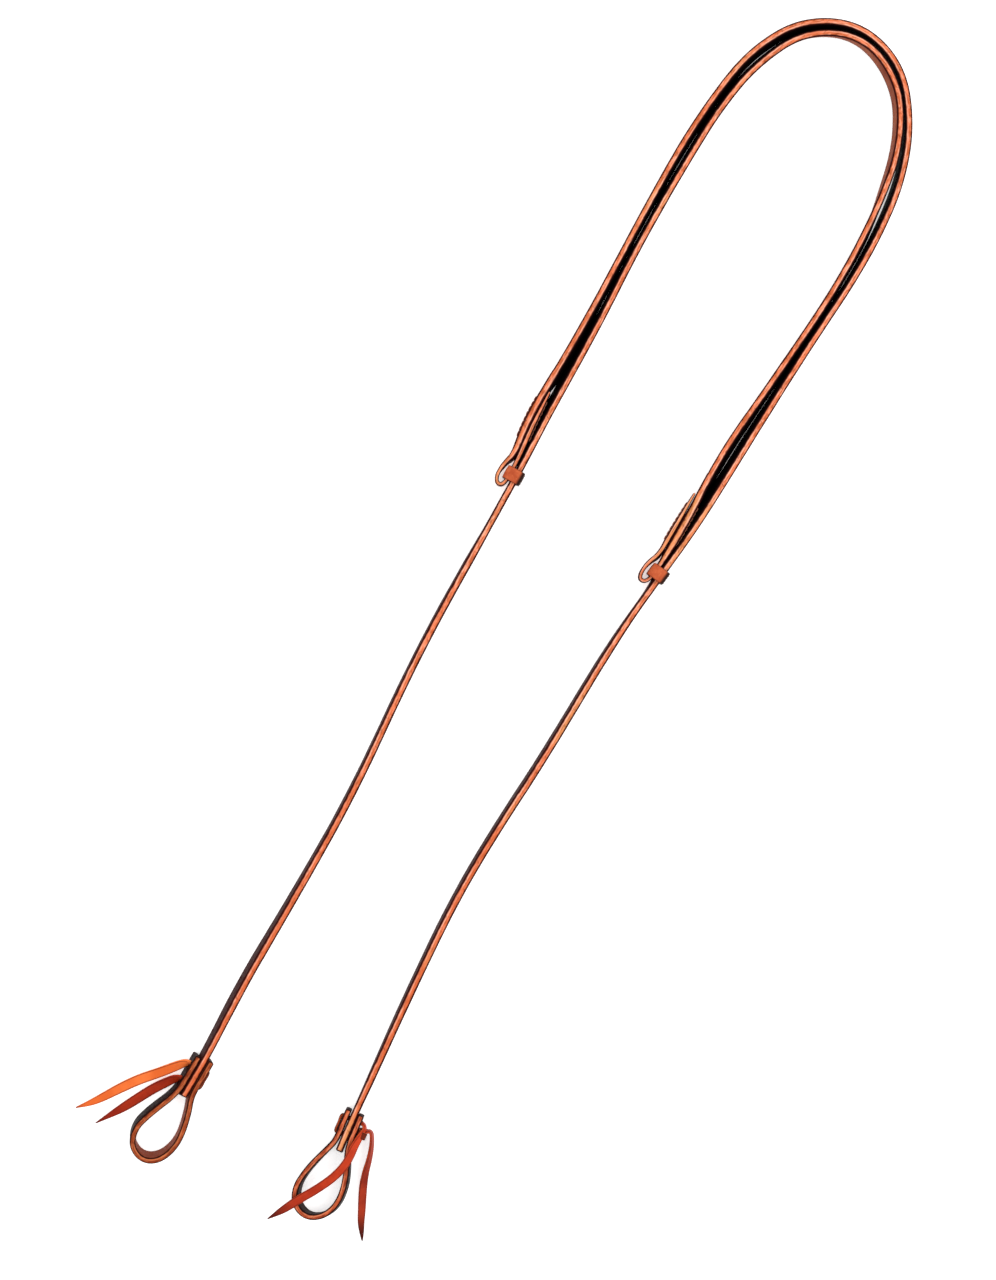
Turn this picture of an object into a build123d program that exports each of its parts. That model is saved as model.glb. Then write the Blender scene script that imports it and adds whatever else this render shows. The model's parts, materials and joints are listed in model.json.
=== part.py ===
from build123d import *
import math
import os

# One-piece adjustable leather reins, laid flat on their edges in a long U.
# Two straps run side by side round the hand end; each one's folded end is linked by a
# captive leather keeper to the other strap, so the straps slide past each other.
# +Z up, the U's long axis along +Y (hand end at +Y), origin at the middle of the footprint.

# ---- driving dimensions (mm) ----
STRAP_W = 15.9          # strap width, which stands along Z
STRAP_T = 6.5           # strap thickness
FOLD_T = 4.2            # skived thickness round the folded eye
LOOP_T = 5.5            # thickness of the bit loop leather
LACE_W = 9.0            # lace width
LACE_T = 2.4            # lace thickness
KEEP_BAND = 12.7        # keeper width along the strap
KEEP_T = 2.6            # keeper leather
KEEP_IN = 12.35         # inside width of a keeper, across both straps
LIFT = 2.7              # the straps ride this far up over a keeper's lower band
LIFT_RAMP = 55.0        # length of each ramp up to a keeper
ADJUST = 10.0           # straight stretch of the raised run, for the adjustment travel
THREAD_R = 0.5          # thread radius
BAR_R = 0.55            # radius of a stitch on the surface
STITCH_Z = (3.6, 12.3)  # the two stitching rows, above the strap's lower edge
HOLE_Z = 8.0            # lace holes, above the strap's lower edge
HOLE_R = 2.8
SHANK_R = 2.5
SHIFT_X, SHIFT_Y = -23.33, -39.13   # brings the middle of the footprint to the origin

HS = STRAP_T / 2
HF = FOLD_T / 2
HL = LOOP_T / 2
RAD = 0.45              # share of the shorter run that an arc takes

os.makedirs("parts", exist_ok=True)


def vsub(a, b):
    return (a[0] - b[0], a[1] - b[1])


def unit(v):
    n = math.hypot(*v)
    return (v[0] / n, v[1] / n)


def elements(pts):
    """Corner data of a route: straight runs joined by tangent arcs."""
    out = []
    for i in range(1, len(pts) - 1):
        d0, d1 = unit(vsub(pts[i], pts[i - 1])), unit(vsub(pts[i + 1], pts[i]))
        l0, l1 = math.dist(pts[i], pts[i - 1]), math.dist(pts[i + 1], pts[i])
        turn = math.atan2(d0[0] * d1[1] - d0[1] * d1[0], d0[0] * d1[0] + d0[1] * d1[1])
        t = RAD * min(l0, l1)
        r = t / math.tan(abs(turn) / 2) if abs(turn) > 1e-6 else 1e9
        sg = 1 if turn > 0 else -1
        a = (pts[i][0] - t * d0[0], pts[i][1] - t * d0[1])
        b = (pts[i][0] + t * d1[0], pts[i][1] + t * d1[1])
        n0, n1 = (-d0[1], d0[0]), (-d1[1], d1[0])
        c = (a[0] + sg * r * n0[0], a[1] + sg * r * n0[1])
        out.append((a, b, c, r, sg, n0, n1, turn))
    return out


def strap_face(pts, hs, name):
    """Plan outline of a strap that stands on edge: its centreline offset both ways.
    hs gives the half thickness at each point; it changes only along straight runs."""
    el = elements(pts)
    radii = [e[3] for e in el]
    print(name, "runs", [round(math.dist(p, q)) for p, q in zip(pts, pts[1:])])
    print(name, "radii", [round(r) for r in radii])
    sides = []
    for s in (1, -1):
        d0, d1 = unit(vsub(pts[1], pts[0])), unit(vsub(pts[-1], pts[-2]))
        cur = (pts[0][0] - s * hs[0] * d0[1], pts[0][1] + s * hs[0] * d0[0])
        first, edges = cur, []
        for (a, b, c, r, sg, n0, n1, turn), h in zip(el, hs[1:-1]):
            p = (a[0] + s * h * n0[0], a[1] + s * h * n0[1])
            q = (b[0] + s * h * n1[0], b[1] + s * h * n1[1])
            edges.append(Line(cur, p))
            if abs(turn) < math.radians(0.3):
                edges.append(Line(p, q))
            else:
                m = unit((a[0] + b[0] - 2 * c[0], a[1] + b[1] - 2 * c[1]))
                rr = r - s * sg * h
                assert rr > 0.15, (name, rr)
                edges.append(ThreePointArc(p, (c[0] + rr * m[0], c[1] + rr * m[1]), q))
            cur = q
        end = (pts[-1][0] - s * hs[-1] * d1[1], pts[-1][1] + s * hs[-1] * d1[0])
        edges.append(Line(cur, end))
        sides.append((first, edges, end))
    cap0 = Line(sides[0][0], sides[1][0])
    cap1 = Line(sides[0][2], sides[1][2])
    w = Wire([e.edge() for e in sides[0][1] + [cap1] + sides[1][1] + [cap0]])
    f = Face(w)
    assert f.is_valid, name
    return f


def at_y(pts, hs, y):
    """Centre, half thickness and direction of a route where it crosses height y."""
    for i in range(len(pts) - 1):
        (x0, y0), (x1, y1) = pts[i], pts[i + 1]
        if (y0 - y) * (y1 - y) <= 0 and y0 != y1:
            f = (y - y0) / (y1 - y0)
            run = math.dist(pts[i], pts[i + 1])
            t0 = RAD * min(run, math.dist(pts[i - 1], pts[i])) / run if i else 0.0
            t1 = RAD * min(run, math.dist(pts[i + 1], pts[i + 2])) / run if i + 2 < len(pts) else 0.0
            g = min(1.0, max(0.0, (f - t0) / (1 - t0 - t1)))
            return x0 + f * (x1 - x0), hs[i] + g * (hs[i + 1] - hs[i]), unit((x1 - x0, y1 - y0))
    raise ValueError(y)


def prism(face, z0, z1):
    return extrude(Pos(0, 0, z0) * face, amount=z1 - z0, dir=(0, 0, 1))


def rod(a, b, r):
    a, b = Vector(*a), Vector(*b)
    return Solid.make_cylinder(r, (b - a).length, Plane(a, z_dir=b - a))


def write(name, shape):
    shape = Pos(SHIFT_X, SHIFT_Y, 0) * shape
    shape.label = name
    export_step(shape, f"parts/{name}.step")
    print(name, round(shape.volume))


# ---- routes of the two straps (centrelines, plan) ----
# Inner strap: left bit end, up the left leg, round the hand end, down the right leg,
# through the right keeper, round its eye and back up as the sewn flap.
RK = (98.95, 124.6)                      # right keeper: middle of the outer strap inside it
RA = math.radians(-6.6)                  # the strap's lean from +Y there


def rk(u, v):
    c, s = math.cos(RA), math.sin(RA)
    return (RK[0] + u * c - v * s, RK[1] + u * s + v * c)


inner_pts = [
    (-42.0, -502.5), (-41.9, -478.0), (-42.3, -450.0), (-44.2, -415.0), (-45.3, -370.8),
    (-44.6, -319.1), (-44.4, -266.7), (-44.8, -214.3), (-47.4, -162.1), (-52.0, -109.8),
    (-56.1, -57.6), (-58.4, -5.2), (-59.0, 47.1), (-59.3, 99.5), (-60.2, 151.9),
    (-62.4, 204.2), (-63.0, 256.6), (-64.7, 308.9), (-67.8, 361.3), (-68.9, 413.5),
    (-68.5, 466.0), (-67.0, 518.2), (-58.6, 570.0), (-34.6, 620.2), (13.1, 642.3),
    (63.2, 620.3), (90.9, 573.0), (101.0, 522.1), (105.4, 469.7), (105.1, 417.3),
    (101.4, 365.0), (97.1, 313.3), (92.3, 262.0), (92.0, 222.0), (94.0, 190.0),
]
inner_h = [HS] * len(inner_pts)
inner_tail = [
    (rk(-8.8, 35.0), HS), (rk(-7.3, 18.5), 2.6), (rk(-6.35, 3.6), HF), (rk(-6.2, -7.8), HF),
    (rk(-9.0, -13.2), HF), (rk(-13.6, -13.5), HF), (rk(-16.3, -8.0), HF), (rk(-16.5, 3.0), HF),
    (rk(-12.9, 15.5), HF), (rk(-14.9, 33.0), HF), (rk(-17.4, 56.0), 1.9), (rk(-20.0, 79.0), 0.7),
]
# Outer strap: right bit end, up through the right keeper, round outside the inner strap,
# down the left leg, round its eye in the left keeper and back up as the sewn flap.
outer_pts = [
    (107.4, -474.7), (103.8, -447.0), (99.0, -397.7), (93.4, -343.6), (89.0, -291.9),
    (85.0, -239.5), (84.1, -187.1), (85.8, -134.7), (88.8, -82.3), (90.2, -29.9),
    (91.1, 22.5), (93.6, 75.0), (99.3, 127.0), (104.9, 179.2), (106.9, 231.6),
    (108.4, 284.0), (110.2, 336.4), (112.7, 388.8), (116.4, 441.1), (116.2, 493.7),
    (109.7, 545.6), (90.9, 594.9), (56.7, 637.1), (4.9, 650.9), (-43.7, 626.3),
    (-69.3, 578.7), (-77.4, 526.8), (-80.6, 474.4), (-79.9, 422.0), (-78.4, 369.5),
    (-76.6, 317.7), (-76.0, 268.0), (-76.8, 228.0), (-77.1, 196.0),
]
outer_h = [HS] * len(outer_pts)
outer_tail = [
    ((-74.6, 171.0), HS), ((-72.1, 154.5), 2.6), ((-75.2, 143.5), HF), ((-76.2, 134.0), HF),
    ((-75.6, 128.4), HF), ((-72.6, 123.7), HF), ((-68.4, 123.5), HF), ((-66.1, 128.6), HF),
    ((-66.15, 139.0), HF), ((-66.7, 154.0), HF), ((-68.6, 170.0), HF), ((-71.1, 194.6), 1.9),
    ((-72.0, 219.0), 0.7),
]
inner_pts += [p for p, _ in inner_tail]
inner_h += [h for _, h in inner_tail]
outer_pts += [p for p, _ in outer_tail]
outer_h += [h for _, h in outer_tail]

# ---- keepers: middle, direction ----
LK = (-68.55 + KEEP_IN / 2, 136.7)
LKA = math.radians(1.0)
rk_mid = rk(3.55 - (KEEP_IN + 0.2) / 2, 0.15)


def lift_cutters():
    """Blocks that leave a strap 15.9 tall but raised by LIFT over each keeper's lower band."""
    out = []
    for x0, x1, yc, up, dn in ((-140, 20, LK[1], 2.5 + ADJUST, 2.5), (20, 180, RK[1], 2.5, 2.5 + ADJUST)):
        ya, yb = yc - KEEP_BAND / 2 - dn, yc + KEEP_BAND / 2 + up
        prof = [(ya - LIFT_RAMP, 0), (ya, LIFT), (yb, LIFT), (yb + LIFT_RAMP, 0)]
        low = Polyline(*[(0, y, z) for y, z in prof], (0, prof[-1][0], -5), (0, prof[0][0], -5), close=True)
        out.append(extrude(Pos(x0, 0, 0) * Face(Wire(low.edges())), amount=x1 - x0, dir=(1, 0, 0)))
        top = Polyline((0, -700, STRAP_W), *[(0, y, z + STRAP_W) for y, z in prof], (0, 800, STRAP_W),
                       (0, 800, 40), (0, -700, 40), close=True)
        out.append(extrude(Pos(x0, 0, 0) * Face(Wire(top.edges())), amount=x1 - x0, dir=(1, 0, 0)))
    return out


def lift_at(x, y):
    yc, up, dn = (LK[1], 2.5 + ADJUST, 2.5) if x < 20 else (RK[1], 2.5, 2.5 + ADJUST)
    ya, yb = yc - KEEP_BAND / 2 - dn, yc + KEEP_BAND / 2 + up
    if y < ya:
        return max(0.0, LIFT * (1 - (ya - y) / LIFT_RAMP))
    if y > yb:
        return max(0.0, LIFT * (1 - (y - yb) / LIFT_RAMP))
    return LIFT


# ---- sewn folds ----
def bar(p, q, out):
    """A stitch on the surface from hole to hole, just proud of it, with rounded ends."""
    k = 0.5
    p = (p[0] + out[0] * k, p[1] + out[1] * k, p[2])
    q = (q[0] + out[0] * k, q[1] + out[1] * k, q[2])
    d = Vector(*q) - Vector(*p)
    c = rod(tuple(Vector(*p) + d.normalized() * 0.2), tuple(Vector(*q) - d.normalized() * 0.2), BAR_R)
    return c.fillet(0.3, c.edges().filter_by(GeomType.CIRCLE))


def fold(main, mh, flap, fh, ys):
    """Hole cylinders and the two rows of saddle stitch through a fold."""
    holes, rows = [], []
    for z in STITCH_Z:
        ends, norms = [], []
        for y in ys:
            xm, hm, d = at_y(main, mh, y)
            xf, hf, _ = at_y(flap, fh, y)
            if d[1] < 0:
                d = (-d[0], -d[1])
            nx, ny = d[1], -d[0]                     # towards +X across the fold
            lo, hi = ((xm, hm), (xf, hf)) if xm < xf else ((xf, hf), (xm, hm))
            zz = z + lift_at(xm, y)
            a = (lo[0] - nx * (lo[1] + 0.25), y - ny * (lo[1] + 0.25), zz)
            wide = (hi[0] + hi[1] + 0.25) - (lo[0] - lo[1] - 0.25)
            b = (a[0] + nx * wide, a[1] + ny * wide, zz)
            ends.append((a, b))
            norms.append((nx, ny, zz))
            holes.append(rod((a[0] - nx * 2, a[1] - ny * 2, zz), (b[0] + nx * 2, b[1] + ny * 2, zz), THREAD_R + 0.15))
        # one strand through each hole, and a short bar on each face between two holes
        rows += [rod((a[0] + nx * 0.2, a[1] + ny * 0.2, zz), (b[0] - nx * 0.2, b[1] - ny * 0.2, zz), THREAD_R)
                 for (a, b), (nx, ny, zz) in zip(ends, norms)]
        for (a0, b0), (a1, b1), (nx, ny, _) in zip(ends, ends[1:], norms):
            rows += [bar(a0, a1, (-nx, -ny)), bar(b0, b1, (nx, ny))]
    return holes, rows


n_in, n_out = len(inner_pts) - len(inner_tail), len(outer_pts) - len(outer_tail)
in_main, in_mh = inner_pts[n_in - 3:n_in + 3], inner_h[n_in - 3:n_in + 3]
in_flap, in_fh = inner_pts[-4:], inner_h[-4:]
out_main, out_mh = outer_pts[n_out - 3:n_out + 2], outer_h[n_out - 3:n_out + 2]
out_flap, out_fh = outer_pts[-5:], outer_h[-5:]
in_holes, in_rows = fold(in_main, in_mh, in_flap, in_fh, [155.0 + 5.0 * i for i in range(9)])
out_holes, out_rows = fold(out_main, out_mh, out_flap, out_fh, [170.0 + 5.0 * i for i in range(9)])

# ---- bit ends ----
RE, RE_A = (107.4, -474.7), math.radians(7.4)     # end of the outer strap and its lean


def re(u, v):
    c, s = math.cos(RE_A), math.sin(RE_A)
    return (RE[0] + u * c - v * s, RE[1] + u * s + v * c)


SIDE = HS + 0.3 + HL
LOOP_OUT = SIDE + HL
left_loop = [
    (-42.0 - SIDE, -464.5), (-42.0 - SIDE, -482.0), (-42.05 - SIDE, -499.0), (-51.6, -510.5), (-56.3, -521.5), (-61.2, -534.0),
    (-65.0, -547.5), (-61.8, -561.0), (-53.4, -568.0), (-43.4, -569.6), (-34.0, -564.8),
    (-27.6, -554.5), (-25.0, -541.0), (-26.9, -526.5), (-30.6, -512.5), (-33.7, -504.5),
    (-41.95 + SIDE, -496.5), (-42.0 + SIDE, -480.0), (-42.0 + SIDE, -463.0),
]
right_loop = [
    re(-SIDE, 38.0), re(-SIDE, 23.0), re(-SIDE - 0.15, 6.5), (97.3, -479.5), (93.8, -492.5), (90.8, -507.0), (90.2, -521.5),
    (95.3, -533.8), (104.8, -540.3), (115.8, -540.6), (126.2, -532.6), (131.0, -518.4),
    (128.8, -502.0), (123.2, -488.0), (117.0, -476.8), re(SIDE + 0.15, 6.5), re(SIDE, 22.0), re(SIDE, 37.0),
]
L_HOLES = [(-42.0, -474.0), (-42.0, -490.0)]
R_HOLES = [re(0, 30.0), re(0, 15.0)]


def lace_holes(points, ang):
    c, s = math.cos(ang), math.sin(ang)
    return [rod((x - 14 * c, y - 14 * s, HOLE_Z), (x + 14 * c, y + 14 * s, HOLE_Z), HOLE_R) for x, y in points]


l_holes, r_holes = lace_holes(L_HOLES, 0), lace_holes(R_HOLES, RE_A)
cutters = lift_cutters()

inner = prism(strap_face(inner_pts, inner_h, "inner"), 0, STRAP_W + LIFT)
inner = inner.cut(*cutters, *in_holes, *l_holes)
outer = prism(strap_face(outer_pts, outer_h, "outer"), 0, STRAP_W + LIFT)
outer = outer.cut(*cutters, *out_holes, *r_holes)


def soften(solid, r, floor_z=0.0, top_z=STRAP_W):
    """Round the long edges of a strap."""
    es = solid.edges().filter_by(lambda e: abs(e.center().Z - top_z) < 1e-4 or abs(e.center().Z - floor_z) < 1e-4)
    es = [e for e in es if e.length > 2.0 and abs(e.position_at(0).Z - e.position_at(1).Z) < 1e-6]
    try:
        return solid.fillet(r, es)
    except Exception as err:
        print("soften skipped:", str(err)[:80])
        return solid


ll = prism(strap_face(left_loop, [HL] * len(left_loop), "left_loop"), 0, STRAP_W)
ll = soften(ll.solid(), 0.9).cut(*l_holes)
rl = prism(strap_face(right_loop, [HL] * len(right_loop), "right_loop"), 0, STRAP_W)
rl = soften(rl.solid(), 0.9).cut(*r_holes)


# ---- keepers ----
def keeper(mid, ang, wide):
    z0, z1 = KEEP_T - 0.2, LIFT + STRAP_W + 0.3
    body = Box(wide + 2 * KEEP_T, KEEP_BAND, z1 + KEEP_T, align=(Align.CENTER, Align.CENTER, Align.MIN))
    body = fillet(body.edges().filter_by(Axis.Y), 3.0)
    hole = Pos(0, 0, z0) * Box(wide, KEEP_BAND + 2, z1 - z0, align=(Align.CENTER, Align.CENTER, Align.MIN))
    hole = fillet(hole.edges().filter_by(Axis.Y), 0.8)
    ring = body - hole
    ring = chamfer(ring.edges().filter_by(lambda e: abs(abs(e.center().Y) - KEEP_BAND / 2) < 1e-4), 0.35)
    # closing seam: four stitches on the outer wall, in pairs of blind awl holes
    xw = wide / 2 + KEEP_T
    stitches, awl = [], []
    for i in range(4):
        yy = -KEEP_BAND / 2 + 2.2 + i * 2.77
        a, b = (xw + 0.2, yy, 7.6), (xw + 0.2, yy, 12.2)
        legs = [rod((xw - 1.6, yy, z), (xw + 0.2, yy, z), 0.4) for z in (7.6, 12.2)]
        s = rod((a[0], a[1], a[2] - 0.4), (b[0], b[1], b[2] + 0.4), 0.45).fuse(*legs)
        stitches.append(s)
        awl += [rod((xw - 1.7, yy, z), (xw + 1, yy, z), 0.5) for z in (7.6, 12.2)]
        awl.append(rod((xw + 0.2, yy, 7.2), (xw + 0.2, yy, 12.6), 0.5))
    ring = ring.cut(*awl) if hasattr(ring, "cut") else ring - awl
    loc = Pos(mid[0], mid[1], 0) * Rot(0, 0, math.degrees(ang))
    return loc * ring, loc * Compound(children=[s if isinstance(s, Solid) else s.solid() for s in stitches])


lk, lk_st = keeper(LK, LKA, KEEP_IN)
rkp, rk_st = keeper(rk_mid, RA, KEEP_IN + 0.2)


# ---- ties and their tails ----
def tongue(face_pt, pivot, w, z0, z1):
    """A flat lace end from the strap's face to a round end about a pivot."""
    d = unit(vsub(pivot, face_pt))
    n = (-d[1], d[0])
    h = w / 2
    pts = [(face_pt[0] + n[0] * h, face_pt[1] + n[1] * h), (face_pt[0] - n[0] * h, face_pt[1] - n[1] * h),
           (pivot[0] - n[0] * h, pivot[1] - n[1] * h), (pivot[0] + n[0] * h, pivot[1] + n[1] * h)]
    f = Face(Wire(Polyline(*pts, close=True).edges()))
    return prism(f, z0, z1) + Pos(pivot[0], pivot[1], z0) * Cylinder(h, z1 - z0, align=(Align.CENTER, Align.CENTER, Align.MIN))


def lace_tail(route, hs, prof, name):
    """A flat lace: its plan outline, pointed at the tip, cut from a bent sheet.
    prof lists (distance from the pivot, height of its underside)."""
    plan = prism(strap_face(route, hs, name), -5, 40)
    p = route[0]
    plan = plan + Pos(p[0], p[1], -5) * Cylinder(hs[0], 45, align=(Align.CENTER, Align.CENTER, Align.MIN))
    d = unit(vsub(route[-1], p))
    ang = math.degrees(math.atan2(d[1], d[0]))
    line = [(s, z) for s, z in prof]
    up = [(s, z + LACE_T) for s, z in reversed(prof)]
    f = Face(Wire(Polyline(*[(s, 0, z) for s, z in line + up], close=True).edges()))
    sheet = extrude(Pos(0, 80, 0) * f, amount=160, dir=(0, -1, 0))
    sheet = Pos(p[0], p[1], 0) * Rot(0, 0, ang) * sheet
    return plan & sheet


HW = LACE_W / 2
PV_L1, PV_L2 = (-57.0, -481.0), (-57.9, -496.5)
PV_R1, PV_R2 = re(10.6, 22.0), re(19.2, 24.5)
tail_l1 = lace_tail([PV_L1, (-67.0, -493.6), (-82.6, -511.6), (-97.5, -535.0), (-108.5, -552.8), (-119.6, -564.6)],
                    [4.3, HW, HW + 0.3, HW, 2.9, 0.5],
                    [(-6, 7.0), (8, 7.0), (62, 0.6), (125, 0.6)], "tail_l1")
tail_l2 = lace_tail([PV_L2, (-65.6, -509.5), (-73.9, -526.8), (-83.4, -546.0), (-96.7, -568.2)],
                    [4.3, HW, HW, 3.4, 0.5],
                    [(-6, 7.0), (8, 7.0), (50, 0.6), (100, 0.6)], "tail_l2")
tail_r1 = lace_tail([PV_R1, (119.2, -463.0), (119.5, -481.0), (117.0, -497.2), (108.4, -514.6), (99.0, -530.8), (82.8, -561.0)],
                    [4.3, HW - 0.6, HW - 0.9, HW, HW + 0.2, HW + 0.1, 0.5],
                    [(-6, STRAP_W + 0.6), (98, STRAP_W + 0.6), (126, 12.6)], "tail_r1")
tail_r2 = lace_tail([PV_R2, (129.8, -457.6), (134.6, -468.4), (137.6, -480.5), (143.6, -494.8), (150.7, -509.6), (156.2, -523.6), (166.2, -538.9)],
                    [4.3, 3.4, 3.4, HW - 0.5, HW, HW, 3.6, 0.5],
                    [(-6, 8.4), (7, 8.4), (52, 0.6), (112, 0.6)], "tail_r2")

# left tie: bight on the inner side, both ends out of the outer face
xo, xi = -42.0 - LOOP_OUT, -42.0 + LOOP_OUT
shanks = [rod((xo - 0.5, y, HOLE_Z), (xi + 1.2, y, HOLE_Z), SHANK_R) for _, y in L_HOLES]
mid_y = (L_HOLES[0][1] + L_HOLES[1][1]) / 2
bight = Pos(xi + 0.2 + LACE_T / 2, mid_y, HOLE_Z) * Box(LACE_T, abs(L_HOLES[0][1] - L_HOLES[1][1]) + 6.0, LACE_W)
bight = fillet(bight.edges().filter_by(Axis.X), 2.8)
bight = fillet(bight.edges().group_by(Axis.X)[-1], 0.9)
wall = Pos(xo - 0.15, mid_y, 0) * Box(40, 80, 60, align=(Align.MIN, Align.CENTER, Align.CENTER))
tongues = [(tongue((xo - 0.25, h[1] - 1.5), pv, 8.0, 4.4, 6.7) - wall).solid() for h, pv in zip(L_HOLES, (PV_L1, PV_L2))]
left_tie = shanks[0].fuse(shanks[1], bight, *tongues)

# right tie: bight on the inner side, a half knot on the outer face, ends leave from it
c7, s7 = math.cos(RE_A), math.sin(RE_A)
shanks = [rod((*[p - (LOOP_OUT + 1.2) * k for p, k in zip(h, (c7, s7))], HOLE_Z),
              (*[p + (LOOP_OUT + 1.0) * k for p, k in zip(h, (c7, s7))], HOLE_Z), SHANK_R) for h in R_HOLES]
spin = Pos(*RE, 0) * Rot(0, 0, math.degrees(RE_A))
bight = Box(LACE_T, 21.0, LACE_W)
bight = fillet(bight.edges().filter_by(Axis.X), 2.8)
bight = fillet(bight.edges().group_by(Axis.X)[0], 0.9)
bight = spin * Pos(-LOOP_OUT - 0.2 - LACE_T / 2, 22.5, HOLE_Z) * bight
knot = Box(3.4, 21.0, 12.4)
knot = fillet(knot.edges().filter_by(Axis.X), 5.0)
knot = fillet(knot.edges().group_by(Axis.X)[-1], 1.4)
knot = spin * Pos(LOOP_OUT + 0.2 + 1.7, 22.5, HOLE_Z + 0.4) * knot
wrap = spin * Pos(LOOP_OUT + 0.3 + 1.4, 22.0, 11.0) * Box(2.8, 7.6, 9.9)
wall = spin * Pos(LOOP_OUT + 0.15, 22.0, 0) * Box(40, 80, 60, align=(Align.MAX, Align.CENTER, Align.CENTER))
right_tie = shanks[0].fuse(shanks[1], bight, knot, wrap,
                           tongue(re(LOOP_OUT + 2.2, 24.0), PV_R2, 8.0, 5.8, 8.1) - wall)

write("inner_rein_strap", inner)
write("outer_rein_strap", outer)
write("inner_fold_stitching", Compound(children=in_rows))
write("outer_fold_stitching", Compound(children=out_rows))
write("left_keeper", lk)
write("right_keeper", rkp)
write("left_keeper_stitching", lk_st)
write("right_keeper_stitching", rk_st)
write("left_bit_loop", ll)
write("right_bit_loop", rl)
write("left_tie_lace", left_tie)
write("right_tie_lace", right_tie)
write("left_lace_tail_upper", tail_l1)
write("left_lace_tail_lower", tail_l2)
write("right_lace_tail_crossing", tail_r1)
write("right_lace_tail_outer", tail_r2)
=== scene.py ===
import json
import math

import bpy
from mathutils import Matrix, Vector, kdtree, noise

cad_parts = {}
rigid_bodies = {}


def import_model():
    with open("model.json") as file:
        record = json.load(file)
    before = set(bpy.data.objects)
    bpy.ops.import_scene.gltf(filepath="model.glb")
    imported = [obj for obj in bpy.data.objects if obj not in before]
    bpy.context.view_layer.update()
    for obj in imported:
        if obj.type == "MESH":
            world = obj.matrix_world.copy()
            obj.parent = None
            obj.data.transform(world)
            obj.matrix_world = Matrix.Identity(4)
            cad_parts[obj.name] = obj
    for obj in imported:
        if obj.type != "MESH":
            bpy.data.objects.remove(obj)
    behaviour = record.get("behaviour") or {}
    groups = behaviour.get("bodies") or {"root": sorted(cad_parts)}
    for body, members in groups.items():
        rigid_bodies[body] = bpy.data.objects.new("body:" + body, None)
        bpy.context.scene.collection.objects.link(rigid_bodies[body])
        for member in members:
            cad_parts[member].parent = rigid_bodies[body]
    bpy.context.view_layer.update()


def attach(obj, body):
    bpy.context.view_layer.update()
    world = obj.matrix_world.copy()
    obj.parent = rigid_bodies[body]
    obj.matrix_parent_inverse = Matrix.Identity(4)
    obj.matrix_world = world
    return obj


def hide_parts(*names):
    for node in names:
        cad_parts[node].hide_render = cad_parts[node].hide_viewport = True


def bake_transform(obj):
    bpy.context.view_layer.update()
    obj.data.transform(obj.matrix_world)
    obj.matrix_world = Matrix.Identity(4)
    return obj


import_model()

# ---------------------------------------------------------------- sizes (mm)
SX, SY = -23.33, -39.13
STRAP_W, STRAP_T, FOLD_T, LOOP_T = 15.9, 6.5, 4.2, 5.5
LACE_W, LACE_T = 9.0, 2.4
KEEP_BAND, KEEP_T, KEEP_IN, LIFT, ADJUST = 12.7, 2.6, 12.35, 2.7, 10.0
H = STRAP_W / 2
HS, HF, HL = STRAP_T / 2, FOLD_T / 2, LOOP_T / 2
SIDE = HS + 0.3 + HL
LOOP_OUT = SIDE + HL


def M(v):
    """Plan millimetres to the row frame's metres."""
    return Vector(((v[0] + SX) / 1000, (v[1] + SY) / 1000, v[2] / 1000))


# ---------------------------------------------------------------- camera
cam_data = bpy.data.cameras.new("camera")
cam_data.lens, cam_data.sensor_width, cam_data.clip_end = 85, 36, 60
camera = bpy.data.objects.new("camera", cam_data)
camera.location = (SX / 1000, SY / 1000, 2.7502 + 0.0140)
camera.rotation_euler = (0, 0, math.radians(30))
bpy.context.scene.collection.objects.link(camera)
bpy.context.scene.camera = camera

# ---------------------------------------------------------------- routes
RK, RA = (98.95, 124.6), math.radians(-6.6)
RE, RE_A = (107.4, -474.7), math.radians(7.4)


def rk(u, v):
    c, s = math.cos(RA), math.sin(RA)
    return (RK[0] + u * c - v * s, RK[1] + u * s + v * c)


def re(u, v, *z):
    c, s = math.cos(RE_A), math.sin(RE_A)
    return (RE[0] + u * c - v * s, RE[1] + u * s + v * c, *z)


inner_pts = [
    (-42.0, -502.5), (-41.9, -478.0), (-42.3, -450.0), (-44.2, -415.0), (-45.3, -370.8),
    (-44.6, -319.1), (-44.4, -266.7), (-44.8, -214.3), (-47.4, -162.1), (-52.0, -109.8),
    (-56.1, -57.6), (-58.4, -5.2), (-59.0, 47.1), (-59.3, 99.5), (-60.2, 151.9),
    (-62.4, 204.2), (-63.0, 256.6), (-64.7, 308.9), (-67.8, 361.3), (-68.9, 413.5),
    (-68.5, 466.0), (-67.0, 518.2), (-58.6, 570.0), (-34.6, 620.2), (13.1, 642.3),
    (63.2, 620.3), (90.9, 573.0), (101.0, 522.1), (105.4, 469.7), (105.1, 417.3),
    (101.4, 365.0), (97.1, 313.3), (92.3, 262.0), (92.0, 222.0), (94.0, 190.0),
]
inner_h = [HS] * len(inner_pts)
inner_tail = [
    (rk(-8.8, 35.0), HS), (rk(-7.3, 18.5), 2.6), (rk(-6.35, 3.6), HF), (rk(-6.2, -7.8), HF),
    (rk(-9.0, -13.2), HF), (rk(-13.6, -13.5), HF), (rk(-16.3, -8.0), HF), (rk(-16.5, 3.0), HF),
    (rk(-12.9, 15.5), HF), (rk(-14.9, 33.0), HF), (rk(-17.4, 56.0), 1.9), (rk(-20.0, 79.0), 0.7),
]
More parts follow.
